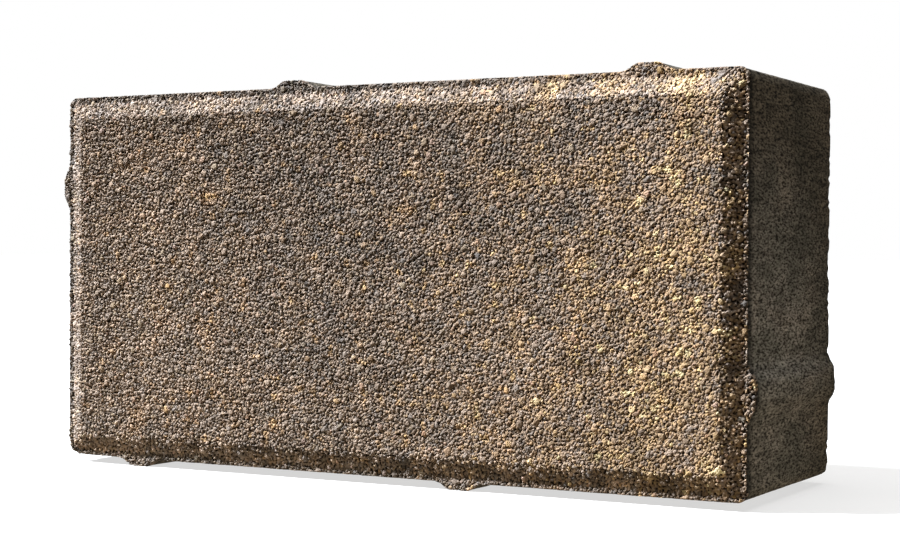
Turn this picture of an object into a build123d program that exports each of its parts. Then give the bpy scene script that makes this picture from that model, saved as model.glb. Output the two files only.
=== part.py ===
from build123d import *
import os

# Body of the paver, standing on one long side with the wear face to the front
LENGTH = 200.0
WIDTH = 100.0
THICKNESS = 65.0
CORNER_RADIUS = 2.5

# Spacer ribs cast on the four sides, the same distance from each corner going round
RIB_HEIGHT = 2.0
RIB_CREST = 6.0
RIB_FOOT = 12.0
RIB_FROM_CORNER = 25.0
RIB_PITCH = 100.0
RIB_CREST_RADIUS = 3.5
RIB_FOOT_RADIUS = 5.0

# Pressed edge of the wear face: a narrow flat land, then a shallow chamfer with a soft top edge
LAND_WIDTH = 1.5
CHAMFER_RUN = 4.5
CHAMFER_DROP = 2.2
LAND_CORNER_RADIUS = 2.0
WEAR_CORNER_RADIUS = 2.0
WEAR_EDGE_RADIUS = 2.0

# Planes across the thickness, from the bed face at the back to the wear face at the front
BED_PLANE = Plane(
    origin=(0, THICKNESS / 2, RIB_HEIGHT + WIDTH / 2),
    x_dir=(1, 0, 0),
    z_dir=(0, -1, 0),
)
LAND_PLANE = BED_PLANE.offset(THICKNESS - CHAMFER_DROP)
WEAR_PLANE = BED_PLANE.offset(THICKNESS)

# Middles of the ribs along each side
RIB_NEAR = LENGTH / 2 - RIB_FROM_CORNER
RIB_FAR = RIB_NEAR - RIB_PITCH
RIB_END = WIDTH / 2 - RIB_FROM_CORNER

with BuildPart() as paver:
    # Plan outline with its six ribs, cast straight through to the level of the land
    with BuildSketch(BED_PLANE) as outline:
        RectangleRounded(LENGTH, WIDTH, CORNER_RADIUS)
        with Locations((RIB_NEAR, WIDTH / 2), (RIB_FAR, WIDTH / 2)):
            Polygon(
                (-RIB_FOOT / 2, 0),
                (RIB_FOOT / 2, 0),
                (RIB_CREST / 2, RIB_HEIGHT),
                (-RIB_CREST / 2, RIB_HEIGHT),
                align=None,
            )
        with Locations((-RIB_NEAR, -WIDTH / 2), (-RIB_FAR, -WIDTH / 2)):
            Polygon(
                (-RIB_FOOT / 2, 0),
                (-RIB_CREST / 2, -RIB_HEIGHT),
                (RIB_CREST / 2, -RIB_HEIGHT),
                (RIB_FOOT / 2, 0),
                align=None,
            )
        with Locations((LENGTH / 2, -RIB_END)):
            Polygon(
                (0, -RIB_FOOT / 2),
                (RIB_HEIGHT, -RIB_CREST / 2),
                (RIB_HEIGHT, RIB_CREST / 2),
                (0, RIB_FOOT / 2),
                align=None,
            )
        with Locations((-LENGTH / 2, RIB_END)):
            Polygon(
                (0, -RIB_FOOT / 2),
                (0, RIB_FOOT / 2),
                (-RIB_HEIGHT, RIB_CREST / 2),
                (-RIB_HEIGHT, -RIB_CREST / 2),
                align=None,
            )
        long_crests = outline.vertices().filter_by(
            lambda v: abs(abs(v.Y) - WIDTH / 2 - RIB_HEIGHT) < 0.01
        )
        end_crests = outline.vertices().filter_by(
            lambda v: abs(abs(v.X) - LENGTH / 2 - RIB_HEIGHT) < 0.01
        )
        fillet(long_crests + end_crests, radius=RIB_CREST_RADIUS)
        long_feet = outline.vertices().filter_by(
            lambda v: abs(abs(v.Y) - WIDTH / 2) < 0.01
            and abs(v.X) < LENGTH / 2 - 2 * CORNER_RADIUS
        )
        end_feet = outline.vertices().filter_by(
            lambda v: abs(abs(v.X) - LENGTH / 2) < 0.01
            and abs(v.Y) < WIDTH / 2 - 2 * CORNER_RADIUS
        )
        fillet(long_feet + end_feet, radius=RIB_FOOT_RADIUS)
    extrude(amount=THICKNESS - CHAMFER_DROP)

    # Pressed chamfer rising from the land to the wear face
    with BuildSketch(LAND_PLANE):
        RectangleRounded(
            LENGTH - 2 * LAND_WIDTH,
            WIDTH - 2 * LAND_WIDTH,
            LAND_CORNER_RADIUS,
        )
    with BuildSketch(WEAR_PLANE):
        RectangleRounded(
            LENGTH - 2 * (LAND_WIDTH + CHAMFER_RUN),
            WIDTH - 2 * (LAND_WIDTH + CHAMFER_RUN),
            WEAR_CORNER_RADIUS,
        )
    loft()

    # Soft edge where the chamfer meets the wear face
    wear_face = paver.faces().sort_by(Axis.Y)[0]
    fillet(wear_face.edges(), radius=WEAR_EDGE_RADIUS)

paver.part.label = "paver"

os.makedirs("parts", exist_ok=True)
export_step(paver.part, "parts/paver.step")
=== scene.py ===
import math

import bmesh
import bpy
import numpy as np
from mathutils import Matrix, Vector, noise
from mathutils.bvhtree import BVHTree


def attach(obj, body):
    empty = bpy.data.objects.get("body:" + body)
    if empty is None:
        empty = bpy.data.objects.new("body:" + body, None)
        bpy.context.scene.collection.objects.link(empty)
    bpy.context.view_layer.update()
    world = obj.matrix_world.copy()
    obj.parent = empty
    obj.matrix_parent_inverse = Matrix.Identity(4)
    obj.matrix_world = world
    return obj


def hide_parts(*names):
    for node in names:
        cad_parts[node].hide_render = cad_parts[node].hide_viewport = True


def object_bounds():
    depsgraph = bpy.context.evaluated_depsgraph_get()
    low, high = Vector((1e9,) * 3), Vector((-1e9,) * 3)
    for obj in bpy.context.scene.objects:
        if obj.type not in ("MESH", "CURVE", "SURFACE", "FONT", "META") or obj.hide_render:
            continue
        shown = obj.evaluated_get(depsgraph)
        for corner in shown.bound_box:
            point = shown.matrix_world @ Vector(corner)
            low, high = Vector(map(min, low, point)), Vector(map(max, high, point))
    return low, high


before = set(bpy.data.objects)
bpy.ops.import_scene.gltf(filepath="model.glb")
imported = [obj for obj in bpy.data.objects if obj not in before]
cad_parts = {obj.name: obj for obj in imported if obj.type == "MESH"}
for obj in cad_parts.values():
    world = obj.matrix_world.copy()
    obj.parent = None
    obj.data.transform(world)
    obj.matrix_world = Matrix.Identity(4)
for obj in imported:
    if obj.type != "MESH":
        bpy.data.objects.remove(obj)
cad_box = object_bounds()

# Cast block
# The paver is one block of semi-dry concrete, pressed in a steel mould and pushed out along its thickness.
# Its sides keep drag marks and pores from the mould wall, and one end carries a painted pool of light,
# paler around a point near its middle and darker away from it. Its bed edges crumble, its face edges stand
# out as a lip with a painted shadow on the wall just behind it, and one lower corner is chipped.
MM = 0.001
SKIN_STEP = 1.0 * MM
CHAMFER_DROP = 2.2 * MM
FACE_BED_DEPTH = 1.4 * MM
FACE_TURN = 0.7
SIDE_TURN = 0.3
BED_TURN = 0.9
WALL_WAVE = 0.10 * MM
WALL_WAVE_LENGTH = 14 * MM
WALL_GRAIN = 0.10 * MM
WALL_GRAIN_LENGTH = 2.2 * MM
LIP_RECESS = 0.25 * MM
LIP_REACH = 3.0 * MM
# Painted shadow on the wall just behind the face's lip: its darkest share and where it starts and ends.
LIP_SHADOW = 0.20
LIP_SHADOW_FROM = 1.0 * MM
LIP_SHADOW_TO = 5.0 * MM
BED_EDGE_LOSS = 1.3 * MM
BED_EDGE_REACH = 1.6 * MM
BED_EDGE_LENGTH = 3.0 * MM
BED_EDGE_CRUMBS = 0.6
LIT_POOL_MIDDLE = (100 * MM, -16 * MM, 39 * MM)
CHIP_RAGGED = 2.5 * MM
CHIP_RUN = 6 * MM
# Each chip's middle across and up, its reach and its depth, in millimetres
CHIPS = [
    (-99, -3, 9, 2.6),
    (-93, -2, 6, 1.5),
]
front = cad_box[0][1]
back = cad_box[1][1]
land_level = front + CHAMFER_DROP

cast = bmesh.new()
cast.from_mesh(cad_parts["paver"].data)
bmesh.ops.remove_doubles(cast, verts=cast.verts, dist=0.001 * MM)
mould_shape = BVHTree.FromBMesh(cast)


def chipped(place):
    """How much of the face edge has broken away at a place near one of the chips."""
    loss = 0.0
    for x, z, reach, deepest in CHIPS:
        away = math.hypot(place.x / MM - x, place.z / MM - z) / reach
        ragged = 1 + 0.5 * noise.noise(place / CHIP_RAGGED)
        loss = max(loss, deepest * MM * ragged * (1 - away))
    return loss


block_mesh = bpy.data.meshes.new("cast_block")
cast.to_mesh(block_mesh)
cast.free()
block = bpy.data.objects.new("cast_block", block_mesh)
bpy.context.scene.collection.objects.link(block)
even_skin = block.modifiers.new("even_skin", "REMESH")
even_skin.mode = "VOXEL"
even_skin.voxel_size = SKIN_STEP
skinned = block.evaluated_get(bpy.context.evaluated_depsgraph_get())

relief = bmesh.new()
relief.from_mesh(skinned.data)
block.modifiers.remove(even_skin)
relief.normal_update()
for vert in relief.verts:
    dent = WALL_WAVE * (0.5 + 0.5 * noise.noise(vert.co / WALL_WAVE_LENGTH))
    dent += WALL_GRAIN * (0.5 + 0.5 * noise.noise(vert.co / WALL_GRAIN_LENGTH))
    if vert.normal.y < -FACE_TURN:
        dent += FACE_BED_DEPTH
    if vert.co.y < land_level + CHIP_RUN:
        dent += chipped(vert.co)
    if -FACE_TURN < vert.normal.y < SIDE_TURN:
        dent += LIP_RECESS * max(0.0, 1 - (vert.co.y - land_level) / LIP_REACH)
    from_bed = (back - vert.co.y) / BED_EDGE_REACH
    if from_bed < 1 and vert.normal.y < BED_TURN:
        crumble = noise.noise(vert.co / BED_EDGE_LENGTH)
        crumble += BED_EDGE_CRUMBS * noise.noise(3 * vert.co / BED_EDGE_LENGTH)
        dent += BED_EDGE_LOSS * max(0.0, crumble) * (1 - from_bed)
    vert.co -= vert.normal * dent
for face in relief.faces:
    face.smooth = True
    face.material_index = 1 if face.normal.y > FACE_TURN else 0
relief.to_mesh(block_mesh)
relief.free()


def new_material(name):
    """A material with its nodes, its links and its shader."""
    material = bpy.data.materials.new(name)
    material.use_nodes = True
    nodes = material.node_tree.nodes
    return material, nodes, material.node_tree.links, nodes["Principled BSDF"]


def add_noise(nodes, links, coordinates, stretch, scale, detail):
    """A noise pattern on object coordinates, in patterns per metre, squeezed or drawn out along each axis."""
    mapping = nodes.new("ShaderNodeMapping")
    mapping.inputs["Scale"].default_value = stretch
    links.new(coordinates, mapping.inputs["Vector"])
    pattern = nodes.new("ShaderNodeTexNoise")
    pattern.inputs["Scale"].default_value = scale
    pattern.inputs["Detail"].default_value = detail
    pattern.inputs["Roughness"].default_value = 0.6
    links.new(mapping.outputs["Vector"], pattern.inputs["Vector"])
    return pattern.outputs["Fac"]


def add_ramp(nodes, links, factor, stops):
    """Colours along a pattern, from its low places to its high ones."""
    ramp = nodes.new("ShaderNodeValToRGB")
    elements = ramp.color_ramp.elements
    while len(elements) < len(stops):
        elements.new(0.5)
    for element, (position, colour) in zip(elements, stops):
        element.position = position
        element.color = (*colour, 1.0)
    links.new(factor, ramp.inputs["Fac"])
    return ramp.outputs["Color"]


def multiply(nodes, links, first, second, share=1.0):
    """One colour made lighter or darker by another."""
    mix = nodes.new("ShaderNodeMix")
    mix.data_type = "RGBA"
    mix.blend_type = "MULTIPLY"
    mix.inputs["Factor"].default_value = share
    links.new(first, mix.inputs["A"])
    links.new(second, mix.inputs["B"])
    return mix.outputs["Result"]


def add_bump(nodes, links, shader, pattern, strength, distance):
    """Roughness that is finer than the mesh."""
    bump = nodes.new("ShaderNodeBump")
    bump.inputs["Strength"].default_value = strength
    bump.inputs["Distance"].default_value = distance
    links.new(pattern, bump.inputs["Height"])
    links.new(bump.outputs["Normal"], shader.inputs["Normal"])


wall, nodes, links, shader = new_material("mould_wall_concrete")
place = nodes.new("ShaderNodeTexCoord").outputs["Object"]
clouds = add_ramp(nodes, links, add_noise(nodes, links, place, (1, 0.6, 1), 75, 3), [
    (0.36, (0.110, 0.106, 0.088)),
    (0.50, (0.160, 0.148, 0.125)),
    (0.64, (0.220, 0.195, 0.162)),
])
speckle = add_noise(nodes, links, place, (1, 0.33, 1), 2000, 4)
pores = add_ramp(nodes, links, speckle, [
    (0.39, (0.05, 0.045, 0.04)),
    (0.48, (0.84, 0.84, 0.84)),
    (0.62, (1.85, 1.85, 1.85)),
])
drag = add_ramp(nodes, links, add_noise(nodes, links, place, (1, 0.14, 1), 550, 6), [
    (0.36, (0.60, 0.59, 0.58)),
    (0.50, (1.00, 1.00, 1.00)),
    (0.66, (1.18, 1.18, 1.18)),
])
# Painted light: the wall is paler in a pool around a point on the right end and darker away from it.
from_lit_pool = nodes.new("ShaderNodeVectorMath")
from_lit_pool.operation = "DISTANCE"
from_lit_pool.inputs[1].default_value = LIT_POOL_MIDDLE
links.new(place, from_lit_pool.inputs[0])
painted_light_pool = add_ramp(nodes, links, from_lit_pool.outputs["Value"], [
    (0.000, (1.52, 1.54, 1.62)),
    (0.020, (1.36, 1.37, 1.42)),
    (0.051, (0.56, 0.54, 0.49)),
])
axes = nodes.new("ShaderNodeSeparateXYZ")
links.new(place, axes.inputs["Vector"])
# Painted shadow: the wall is darkened in a band just behind the lip, fading out further back.
lip_shadow_band = nodes.new("ShaderNodeMapRange")
lip_shadow_band.interpolation_type = "SMOOTHSTEP"
lip_shadow_band.inputs["From Min"].default_value = land_level + LIP_SHADOW_FROM
lip_shadow_band.inputs["From Max"].default_value = land_level + LIP_SHADOW_TO
lip_shadow_band.inputs["To Min"].default_value = LIP_SHADOW
lip_shadow_band.inputs["To Max"].default_value = 1.0
links.new(axes.outputs["Y"], lip_shadow_band.inputs["Value"])
light_pooled = multiply(nodes, links, clouds, painted_light_pool)
dragged = multiply(nodes, links, light_pooled, drag)
pored = multiply(nodes, links, dragged, pores)
lip_shadowed = multiply(nodes, links, pored, lip_shadow_band.outputs["Result"])
links.new(lip_shadowed, shader.inputs["Base Color"])
add_bump(nodes, links, shader, speckle, 0.8, 0.3 * MM)
shader.inputs["Roughness"].default_value = 0.9
shader.inputs["Specular IOR Level"].default_value = 0.25

bed, nodes, links, shader = new_material("struck_bed_concrete")
place = nodes.new("ShaderNodeTexCoord").outputs["Object"]
crumbs = add_noise(nodes, links, place, (1, 1, 1), 420, 4)
hollows = add_ramp(nodes, links, crumbs, [
    (0.36, (0.085, 0.077, 0.067)),
    (0.48, (0.155, 0.143, 0.122)),
    (0.66, (0.230, 0.204, 0.172)),
])
grit = add_ramp(nodes, links, add_noise(nodes, links, place, (1, 1, 1), 1600, 2), [
    (0.36, (0.3, 0.3, 0.3)),
    (0.62, (1.5, 1.5, 1.5)),
])
links.new(multiply(nodes, links, hollows, grit, 0.5), shader.inputs["Base Color"])
add_bump(nodes, links, shader, crumbs, 0.9, 1.0 * MM)
shader.inputs["Roughness"].default_value = 0.95

block_mesh.materials.append(wall)
block_mesh.materials.append(bed)
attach(block, "root")
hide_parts("paver")

# Wear face
# The face mix is graded sand in pigmented cement, pressed level by the stamp: taupe at one end of the block
# and folded into tan at the other, with ochre stones here and there. Every grain is pressed into one height
# map, which lies on the mould's land, chamfers and face and is cut into slabs along the block.
SHEET_STEP = 0.235 * MM
SHEET_NUDGE = 0.3
SLABS = 5
FRONT_TURN = 0.5
RIM_DEPTH = 2.2 * MM
RIM_TUCK = 0.15 * MM
RIM_ROUND = 0.45 * MM
RIM_ROUND_LENGTH = 4 * MM
RIM_NEAR = 1.0 * MM
RIM_FOOT = 0.9
FACE_IN_PICTURE = 0.96
BACK_IN_PICTURE = 0.01
PIT_DEPTH = 0.85 * MM
GRAIN_SIDES = 7
GRAIN_NUDGE = 0.45
GRAIN_TWIST = 0.25
GRAIN_RIM = (0.72, 1.12)
GRAIN_STEEPNESS = (1.5, 6.0)
GRAIN_DOME = (0.05, 0.25)
OPEN_DEPTH = 0.25 * MM
OPEN_LENGTH = 3.5 * MM
CREVICE_SHADE_DEPTH = 0.30 * MM
JOINT_DEPTH = 0.34 * MM
FINES_DEPTH = 0.045 * MM
BED_CLEARANCE = 0.05 * MM
TIGHTER_TO_TAN = 0.26
LEVEL_TURN = 0.995
FILM_AND_LIGHT_TURN = 0.05
CHAMFER_TURN = 0.3
WORN_CHAMFER = 0.2
SHADED_CONTRAST = 0.8
SHADED_FILM_AND_LIGHT_LOSS = 0.15
LEFT_FILM_AND_LIGHT_LOSS = 0.25
CLOUD_LENGTH = 9 * MM
SPECK_LENGTH = 2.5 * MM
STAIN_LENGTH = 6 * MM
DARKEST_GRAIN = 0.27
GRAIN_CONTRAST = 0.4
OPEN_LIP = 0.6
RIB_AND_LAND = 3.5 * MM
GREY_LAND = 0.16
rng = np.random.default_rng(7)

slab_columns = round((cad_box[1][0] - cad_box[0][0]) / SHEET_STEP / SLABS)
columns = slab_columns * SLABS
rows = round((cad_box[1][2] - cad_box[0][2]) / SHEET_STEP)
across, up = np.meshgrid(
    np.linspace(cad_box[0][0], cad_box[1][0], columns + 1),
    np.linspace(cad_box[0][2], cad_box[1][2], rows + 1),
)
across += rng.uniform(-SHEET_NUDGE, SHEET_NUDGE, across.shape) * SHEET_STEP
up += rng.uniform(-SHEET_NUDGE, SHEET_NUDGE, up.shape) * SHEET_STEP
seat = np.zeros((rows + 1, columns + 1, 3))
facing = np.zeros_like(seat)
drop = np.zeros((rows + 1, columns + 1))
on_face = np.zeros((rows + 1, columns + 1), bool)
on_rim = np.zeros_like(on_face)
for row in range(rows + 1):
    for column in range(columns + 1):
        x, z = across[row, column], up[row, column]
        hit, normal, _, _ = mould_shape.ray_cast(Vector((x, front - CHAMFER_DROP, z)), Vector((0, 1, 0)))
        inset = 0.0
        if hit is not None and normal.y < -FRONT_TURN:
            on_face[row, column] = True
            inset = RIM_DEPTH
            if hit.y > land_level - RIM_NEAR:
                inset = mould_shape.find_nearest(Vector((x, land_level + 2 * RIM_DEPTH, z)))[3]
        else:
            hit, normal, _, _ = mould_shape.find_nearest(Vector((x, land_level, z)), 2 * SHEET_STEP)
            if hit is None:
                continue
            on_rim[row, column] = True
            normal = (normal + Vector((0, -1, 0))).normalized()
        worn = RIM_ROUND * (0.8 + 0.8 * noise.noise(Vector((x, 0, z)) / RIM_ROUND_LENGTH))
        if inset < worn:
            drop[row, column] = worn - math.sqrt(max(0.0, inset * (2 * worn - inset)))
        if inset < RIM_DEPTH:
            drop[row, column] += chipped(hit)
        seat[row, column] = hit
        facing[row, column] = normal

height = np.full((rows + 1, columns + 1), -PIT_DEPTH)
owner = np.zeros((rows + 1, columns + 1), int)
grain_pigment = [np.zeros(1)]
grain_shade = [np.zeros(1)]
grain_tint = [np.zeros(1)]


def scatter(spacing):
    """Places on the face, on a close-packed lattice with each one nudged aside."""
    lattice_across, lattice_up = np.meshgrid(
        np.arange(cad_box[0][0], cad_box[1][0], spacing),
        np.arange(cad_box[0][2], cad_box[1][2], spacing * math.sqrt(0.75)),
    )
    lattice_across[1::2] += spacing / 2
    spots = np.stack([lattice_across.ravel(), lattice_up.ravel()], 1)
    return spots + rng.uniform(-GRAIN_NUDGE, GRAIN_NUDGE, spots.shape) * spacing


# Each patch's middle across and up and its reach, in millimetres, and its shift in pigment and in tone
FACE_PATCHES = [
    (0, 55, 45, -0.05, 0.0),
    (-20, 80, 26, -0.08, 0.0),
    (30, 78, 20, -0.06, 0.0),
    (60, 92, 8, -0.17, 0.1),
    (72, 92, 8, -0.17, 0.1),
    (55, 66, 9, -0.10, -0.15),
    (58, 30, 10, -0.06, -0.15),
    (-4, 16, 26, -0.05, -0.10),
    (78, 24, 22, 0.10, 0.0),
    (76, 62, 20, 0.05, 0.1),
    (-78, 78, 32, 0.0, 0.55),
    (-66, 34, 30, 0.0, 0.55),
    (-90, 14, 15, 0.0, 0.30),
    (-30, 28, 9, 0.0, 0.20),
    (32, 68, 8, 0.0, -0.35),
    (46, 32, 8, 0.0, 0.35),
    (72, 14, 10, 0.0, -0.35),
    (76, 80, 12, 0.0, 0.20),
    (88, 91, 7, 0.0, 0.35),
    (50, 100, 8, 0.10, 0.0),
    (66, 101, 6, 0.25, 0.0),
    (82, 100, 7, 0.15, 0.0),
    (-74, 16, 3, 0.16, 0.0),
    (-74, 11, 3, 0.14, 0.0),
    (-51, 73, 2, 0.30, 0.0),
    (-29, 14, 2, 0.40, 0.0),
    (31, 83, 3, 0.16, 0.0),
    (5, 68, 3, 0.16, 0.0),
    (12, 70, 3, 0.22, 0.0),
    (41, 76, 2, 0.30, 0.0),
    (38, 21, 2, 0.28, 0.0),
    (54, 26, 3, 0.20, 0.0),
    (91, 10, 2, 0.36, 0.0),
    (76, 7, 2, 0.25, 0.0),
]


def folded_mix(spots):
    """Pigment of each place, from slate, 0, by taupe and tan to ochre, 1, and how light its grains are."""
    clouds = np.array([noise.fractal(Vector((x, 0, z)) / CLOUD_LENGTH, 0.8, 2.0, 3) for x, z in spots])
    specks = np.array([noise.noise(Vector((x, 0, z)) / SPECK_LENGTH) for x, z in spots])
    stains = np.array([noise.fractal(Vector((x, 90 * MM, z)) / STAIN_LENGTH, 0.7, 2.0, 2) for x, z in spots])
    to_tan = spots[:, 0] / cad_box[1][0]
    pigment = 0.40 + 0.12 * to_tan + (0.15 + 0.05 * to_tan) * clouds
    pigment += (1.2 + 0.5 * to_tan) * np.clip(specks - 0.33, 0, 0.30)
    pigment += (0.055 + 0.02 * to_tan) * rng.normal(0, 1, len(spots))
    pigment += 0.5 * (1 + to_tan) * rng.choice((-0.26, 0.0, 0.26), len(spots), p=(0.13, 0.79, 0.08))
    half_length, half_width = cad_box[1][0], cad_box[1][2] / 2
    beyond = np.maximum(np.abs(spots[:, 0]) - half_length, np.abs(spots[:, 1] - half_width) - half_width)
    pigment -= GREY_LAND * (beyond > -RIB_AND_LAND)
    tone = rng.uniform(0.12, 0.88, len(spots)) + 0.80 * stains - 0.24 * to_tan
    for x, z, reach, more_pigment, more_tone in FACE_PATCHES:
        near = np.exp(-(np.hypot(spots[:, 0] / MM - x, spots[:, 1] / MM - z) / reach) ** 2)
        pigment += more_pigment * near
        tone += more_tone * near
    return pigment, tone


def press_grains(spots, radii, tops, tilt):
    """Presses many-sided grains into the height map, each with a nearly level top and steep sides."""
    count = len(spots)
    radius = rng.uniform(*radii, count)
    turn = rng.uniform(0, 2 * math.pi, (count, 1)) + np.arange(GRAIN_SIDES) * 2 * math.pi / GRAIN_SIDES
    turn += rng.normal(0, GRAIN_TWIST, turn.shape)
    rim = radius[:, None] * rng.uniform(*GRAIN_RIM, turn.shape)
    steep = rng.uniform(*GRAIN_STEEPNESS, turn.shape)
    dome = rng.uniform(*GRAIN_DOME, count) / radius
    top = rng.uniform(*tops, count)
    open_grain = np.array([noise.noise(Vector((x, 50 * MM, z)) / OPEN_LENGTH) for x, z in spots])
    top -= OPEN_DEPTH * np.clip(open_grain, 0, 1)
    lean = rng.normal(0, tilt, (count, 2))
    first = sum(len(batch) for batch in grain_shade)
    pigment, tone = folded_mix(spots)
    grain_pigment.append(pigment)
    grain_shade.append(DARKEST_GRAIN + GRAIN_CONTRAST * tone)
    grain_tint.append(rng.uniform(0, 1, count))
    middle_column = np.rint((spots[:, 0] - cad_box[0][0]) / SHEET_STEP).astype(int)
    middle_row = np.rint((spots[:, 1] - cad_box[0][2]) / SHEET_STEP).astype(int)
    reach = int(radii[1] * 1.5 / SHEET_STEP) + 1
    for step_row in range(-reach, reach + 1):
        for step_column in range(-reach, reach + 1):
            row = middle_row + step_row
            column = middle_column + step_column
            fits = (row >= 0) & (row <= rows) & (column >= 0) & (column <= columns)
            row, column, grain = row[fits], column[fits], np.flatnonzero(fits)
            aside = across[row, column] - spots[grain, 0]
            above = up[row, column] - spots[grain, 1]
            outward = aside[:, None] * np.cos(turn[grain]) + above[:, None] * np.sin(turn[grain])
            flank = (steep[grain] * (rim[grain] - outward)).min(1)
            crown = lean[grain, 0] * aside + lean[grain, 1] * above - dome[grain] * (aside ** 2 + above ** 2)
            lift = top[grain] + np.minimum(crown, flank)
            np.maximum.at(height, (row, column), lift)
            won = height[row, column] == lift
            owner[row[won], column[won]] = first + grain[won]


# Spacing of each size of grain, its radii, the levels of its tops, in millimetres, and its tilt
for spacing, radii, tops, tilt in (
    (3.80, (0.60, 1.00), (-0.12, 0.00), 0.12),
    (0.88, (0.31, 0.50), (-0.24, -0.03), 0.15),
    (0.58, (0.20, 0.30), (-0.34, -0.10), 0.20),
    (0.42, (0.13, 0.19), (-0.50, -0.25), 0.25),
):
    press_grains(scatter(spacing * MM), np.multiply(radii, MM), np.multiply(tops, MM), tilt)
joint = sum(owner != np.roll(owner, step, axis) for step in (-1, 1) for axis in (0, 1)) / 4
height -= JOINT_DEPTH * joint
height += rng.normal(0, FINES_DEPTH, height.shape)
height *= 1 - TIGHTER_TO_TAN * across / cad_box[1][0]
# Partly painted light: the chamfers are made paler and cooler, as a pressed cement film and as painted light
# that brings them up to their lit look; less so on the left chamfer and on the shaded right and lower
# chamfers.
film_and_painted_light = np.clip((facing[..., 1] + LEVEL_TURN) / FILM_AND_LIGHT_TURN, 0, 1)
worn_side = np.clip(np.maximum(facing[..., 0], -facing[..., 2]) / CHAMFER_TURN, 0, 1)
left_side = np.clip(-facing[..., 0] / CHAMFER_TURN, 0, 1)
shaded = film_and_painted_light * worn_side
height *= 1 + WORN_CHAMFER * shaded
height *= 1 + OPEN_LIP * (across > cad_box[1][0] - RIB_AND_LAND)
height = np.clip(height, BED_CLEARANCE - FACE_BED_DEPTH, 0)
film_and_painted_light *= 1 - SHADED_FILM_AND_LIGHT_LOSS * worn_side - LEFT_FILM_AND_LIGHT_LOSS * left_side
pigment = np.concatenate(grain_pigment)[owner]
shade = 0.5 + (1 + SHADED_CONTRAST * shaded) * (np.concatenate(grain_shade)[owner] - 0.5)
tint = np.concatenate(grain_tint)[owner]
# Painted shade: each place is darkened by how far it lies below the level around it, so the crevices between
# grains come out dark.
level_around = sum(
    np.roll(height, (step_row, step_column), (0, 1))
    for step_row in range(-2, 3)
    for step_column in range(-2, 3)
) / 25
crevice_shade = np.clip((level_around - height) / CREVICE_SHADE_DEPTH, 0, 1)
skin = seat + facing * (height - drop)[..., None]
skin = np.clip(skin, cad_box[0], cad_box[1])

face_mix, nodes, links, shader = new_material("pigmented_face_mix")
levels = {}
for level in ("pigment", "shade", "tint", "crevice_shade", "film_and_painted_light"):
    reader = nodes.new("ShaderNodeAttribute")
    reader.attribute_name = level
    levels[level] = reader.outputs["Fac"]
batches = add_ramp(nodes, links, levels["pigment"], [
    (0.00, (0.150, 0.136, 0.124)),
    (0.22, (0.245, 0.200, 0.165)),
    (0.42, (0.318, 0.236, 0.174)),
    (0.60, (0.365, 0.247, 0.146)),
    (0.80, (0.500, 0.350, 0.185)),
    (1.00, (0.680, 0.560, 0.320)),
])
tones = add_ramp(nodes, links, levels["shade"], [
    (0.00, (0.47, 0.47, 0.47)),
    (0.30, (0.80, 0.80, 0.80)),
    (0.54, (1.02, 1.02, 1.02)),
    (0.70, (1.24, 1.23, 1.21)),
    (1.00, (1.58, 1.56, 1.53)),
])
hues = add_ramp(nodes, links, levels["tint"], [
    (0.00, (0.92, 0.98, 1.06)),
    (0.25, (1.00, 1.00, 1.00)),
    (0.65, (1.00, 1.00, 1.00)),
    (0.85, (1.04, 1.03, 0.88)),
    (1.00, (1.08, 0.96, 0.98)),
])
# Paler chamfers: a cement film, partly painted light.
film_and_painted_light_colours = add_ramp(nodes, links, levels["film_and_painted_light"], [(0.0, (1.0, 1.0, 1.0)), (1.0, (1.45, 1.53, 1.64))])
# Painted shade in the crevices.
crevice_shade_colours = add_ramp(nodes, links, levels["crevice_shade"], [(0.08, (1.0, 1.0, 1.0)), (0.62, (0.06, 0.05, 0.04))])
sand = multiply(nodes, links, batches, tones)
varied = multiply(nodes, links, sand, hues)
jointed = multiply(nodes, links, varied, crevice_shade_colours)
links.new(multiply(nodes, links, jointed, film_and_painted_light_colours), shader.inputs["Base Color"])
place = nodes.new("ShaderNodeTexCoord").outputs["Object"]
add_bump(nodes, links, shader, add_noise(nodes, links, place, (1, 1, 1), 1700, 1.5), 0.5, 0.2 * MM)
shader.inputs["Roughness"].default_value = 0.85
shader.inputs["Specular IOR Level"].default_value = 0.3

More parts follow.
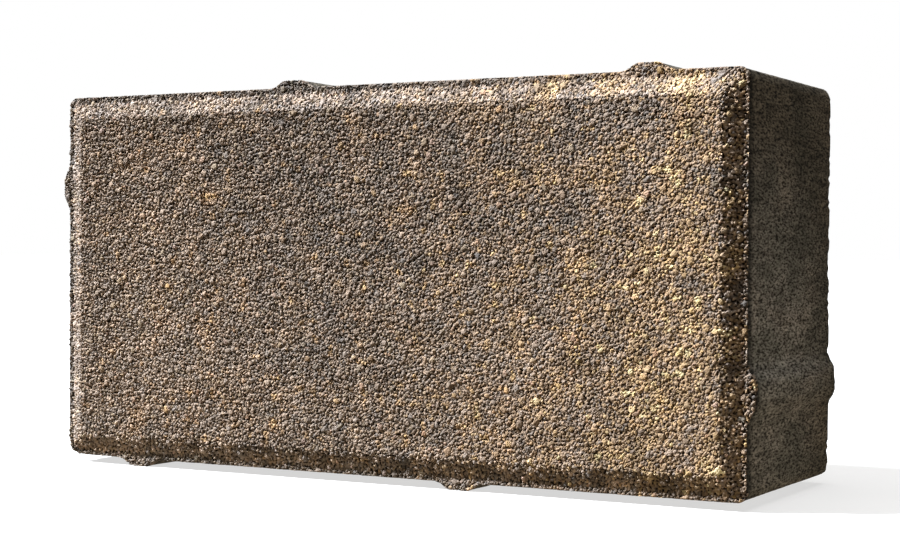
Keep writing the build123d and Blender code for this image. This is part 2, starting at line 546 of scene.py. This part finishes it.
middle = Vector((0.0, 0.0, cad_box[1][2] / 2))
for slab in range(SLABS):
    name = f"wear_face_{slab + 1}"
    span = slice(slab * slab_columns, (slab + 1) * slab_columns + 1)
    sheet = bmesh.new()
    bmesh.ops.create_grid(sheet, x_segments=slab_columns, y_segments=rows, size=1.0)
    mesh = bpy.data.meshes.new(name)
    sheet.to_mesh(mesh)
    sheet.free()
    mesh.vertices.foreach_set("co", skin[:, span].astype(np.float32).ravel())
    for attribute, values in (
        ("pigment", pigment), ("shade", shade), ("tint", tint), ("crevice_shade", crevice_shade), ("film_and_painted_light", film_and_painted_light),
    ):
        layer = mesh.attributes.new(attribute, "FLOAT", "POINT")
        layer.data.foreach_set("value", values[:, span].astype(np.float32).ravel())
    used = (on_face | on_rim)[:, span].ravel()
    inner = on_face[:, span].ravel()
    sheet = bmesh.new()
    sheet.from_mesh(mesh)
    spare = [
        face for face in sheet.faces
        if not all(used[vert.index] for vert in face.verts)
        or not any(inner[vert.index] for vert in face.verts)
    ]
    bmesh.ops.delete(sheet, geom=spare, context="FACES")
    rim = [edge for edge in sheet.edges if edge.is_boundary]
    walls = bmesh.ops.extrude_edge_only(sheet, edges=rim)["geom"]
    for part in walls:
        if isinstance(part, bmesh.types.BMVert):
            inwards = middle - part.co
            part.co.y = land_level + RIM_DEPTH
            part.co.x += math.copysign(RIM_TUCK, inwards.x)
            part.co.z += math.copysign(RIM_TUCK, inwards.z)
    bmesh.ops.holes_fill(sheet, edges=[edge for edge in sheet.edges if edge.is_boundary], sides=0)
    bmesh.ops.recalc_face_normals(sheet, faces=sheet.faces)
    for face in sheet.faces:
        face.smooth = False
    sheet.to_mesh(mesh)
    sheet.free()
    places = np.empty(3 * len(mesh.vertices))
    mesh.vertices.foreach_get("co", places)
    places = places.reshape(-1, 3)
    low, high = places.min(0), places.max(0)
    flat = ((places - low) / (high - low))[:, [0, 2]] - 0.5
    flat[places[:, 1] < land_level + RIM_FOOT * RIM_DEPTH] *= FACE_IN_PICTURE
    corners = np.empty(len(mesh.loops), int)
    mesh.loops.foreach_get("vertex_index", corners)
    unfolded = flat[corners] + 0.5
    for face in mesh.polygons:
        if face.loop_total > 4:
            hidden = slice(face.loop_start, face.loop_start + face.loop_total)
            unfolded[hidden] *= BACK_IN_PICTURE
    mesh.uv_layers.new(name="OFBake").data.foreach_set("uv", unfolded.astype(np.float32).ravel())
    mesh.materials.append(face_mix)
    piece = bpy.data.objects.new(name, mesh)
    bpy.context.scene.collection.objects.link(piece)
    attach(piece, "root")

# Studio floor and backdrop
# A wide pale sheet under the block, with nothing on it but the block's shadow. It throws a low warm light
# back up at the block, strongest close by, and the room adds a weak light from all sides.
FLOOR_SIZE = 40.0
FLOOR_GLOW = 0.50
GLOW_REACH = 0.40
SEEN_SHEET = 0.35
SEEN_GLOW = 0.65
ROOM_LIGHT = 0.07
floor_shape = bmesh.new()
bmesh.ops.create_grid(floor_shape, x_segments=1, y_segments=1, size=FLOOR_SIZE / 2)
floor_mesh = bpy.data.meshes.new("studio_floor")
floor_shape.to_mesh(floor_mesh)
floor_shape.free()
floor = bpy.data.objects.new("studio_floor", floor_mesh)
bpy.context.scene.collection.objects.link(floor)
pale_sheet = bpy.data.materials.new("pale_sheet")
pale_sheet.use_nodes = True
nodes, links = pale_sheet.node_tree.nodes, pale_sheet.node_tree.links
nodes.remove(nodes["Principled BSDF"])
path = nodes.new("ShaderNodeLightPath")
place = nodes.new("ShaderNodeTexCoord").outputs["Object"]
from_block = nodes.new("ShaderNodeVectorMath")
from_block.operation = "LENGTH"
links.new(place, from_block.inputs[0])
fade = nodes.new("ShaderNodeMapRange")
fade.interpolation_type = "SMOOTHSTEP"
fade.inputs["From Min"].default_value = 0.0
fade.inputs["From Max"].default_value = GLOW_REACH
fade.inputs["To Min"].default_value = FLOOR_GLOW
fade.inputs["To Max"].default_value = 0.0
links.new(from_block.outputs["Value"], fade.inputs["Value"])
bounce = nodes.new("ShaderNodeEmission")
bounce.inputs["Color"].default_value = (1.0, 0.84, 0.63, 1)
links.new(fade.outputs["Result"], bounce.inputs["Strength"])
lit = nodes.new("ShaderNodeBsdfDiffuse")
lit.inputs["Color"].default_value = (SEEN_SHEET, SEEN_SHEET, SEEN_SHEET, 1)
glow = nodes.new("ShaderNodeEmission")
glow.inputs["Strength"].default_value = SEEN_GLOW
seen = nodes.new("ShaderNodeAddShader")
links.new(lit.outputs[0], seen.inputs[0])
links.new(glow.outputs[0], seen.inputs[1])
choose = nodes.new("ShaderNodeMixShader")
links.new(path.outputs["Is Camera Ray"], choose.inputs[0])
links.new(bounce.outputs[0], choose.inputs[1])
links.new(seen.outputs[0], choose.inputs[2])
links.new(choose.outputs[0], nodes["Material Output"].inputs["Surface"])
floor_mesh.materials.append(pale_sheet)

world = bpy.data.worlds.new("studio")
bpy.context.scene.world = world
world.use_nodes = True
nodes, links = world.node_tree.nodes, world.node_tree.links
path = nodes.new("ShaderNodeLightPath")
fill = nodes["Background"]
fill.inputs["Color"].default_value = (1.0, 0.86, 0.69, 1)
fill.inputs["Strength"].default_value = ROOM_LIGHT
white = nodes.new("ShaderNodeBackground")
white.inputs["Color"].default_value = (1, 1, 1, 1)
white.inputs["Strength"].default_value = 1.0
choose = nodes.new("ShaderNodeMixShader")
links.new(path.outputs["Is Camera Ray"], choose.inputs[0])
links.new(fill.outputs[0], choose.inputs[1])
links.new(white.outputs[0], choose.inputs[2])
links.new(choose.outputs[0], nodes["World Output"].inputs["Surface"])

# Studio lamp
# One lamp high on the left, almost in line with the wear face, so that every grain throws its own shadow.
# It is a bare lamp far off, so the shadows stay crisp.
LAMP_DIRECTION = Vector((-0.64, -0.32, 0.70)).normalized()
LAMP_SPREAD = 5.0
LAMP_STRENGTH = 4.0
LAMP_COLOUR = (0.97, 1.0, 1.05)


def hang_lamp(name, direction, spread, strength, colour):
    """A lamp far off in one direction, with its spread in degrees."""
    data = bpy.data.lights.new(name, "SUN")
    data.angle = math.radians(spread)
    data.color = colour
    data.energy = strength * math.pi
    lamp = bpy.data.objects.new(name, data)
    lamp.location = direction
    lamp.rotation_euler = (-direction).to_track_quat("-Z", "Y").to_euler()
    bpy.context.scene.collection.objects.link(lamp)


hang_lamp("key_lamp", LAMP_DIRECTION, LAMP_SPREAD, LAMP_STRENGTH, LAMP_COLOUR)

# Overhead soft box
# A wide weak light straight above, which rounds off the upper edges.
# It also softens the shadow on the floor.
OVERHEAD_DIRECTION = Vector((0, 0, 1))
OVERHEAD_SPREAD = 40.0
OVERHEAD_STRENGTH = 0.60
OVERHEAD_COLOUR = (1.0, 1.0, 1.0)
hang_lamp("overhead_box", OVERHEAD_DIRECTION, OVERHEAD_SPREAD, OVERHEAD_STRENGTH, OVERHEAD_COLOUR)

# Side fill lamp
# A weak warm lamp behind the right end.
# It opens up the shaded end and the bed without reaching the wear face.
FILL_DIRECTION = Vector((0.86, 0.43, 0.26)).normalized()
FILL_SPREAD = 20.0
FILL_STRENGTH = 0.14
FILL_COLOUR = (1.0, 0.90, 0.76)
hang_lamp("side_fill", FILL_DIRECTION, FILL_SPREAD, FILL_STRENGTH, FILL_COLOUR)

# Camera
# It stands level with the middle of the block, near its right end, and looks across the wear face.
# A long lens keeps the block's edges close to parallel.
view = bpy.data.cameras.new("photo_view")
view.lens = 72.00
view.sensor_width = 36.0
camera = bpy.data.objects.new("photo_view", view)
camera.location = (0.23874, -0.42150, 0.05880)
camera.rotation_euler = (math.radians(89.202), math.radians(-0.273), math.radians(28.922))
bpy.context.scene.collection.objects.link(camera)
bpy.context.scene.camera = camera
bpy.context.scene.view_settings.view_transform = "Standard"
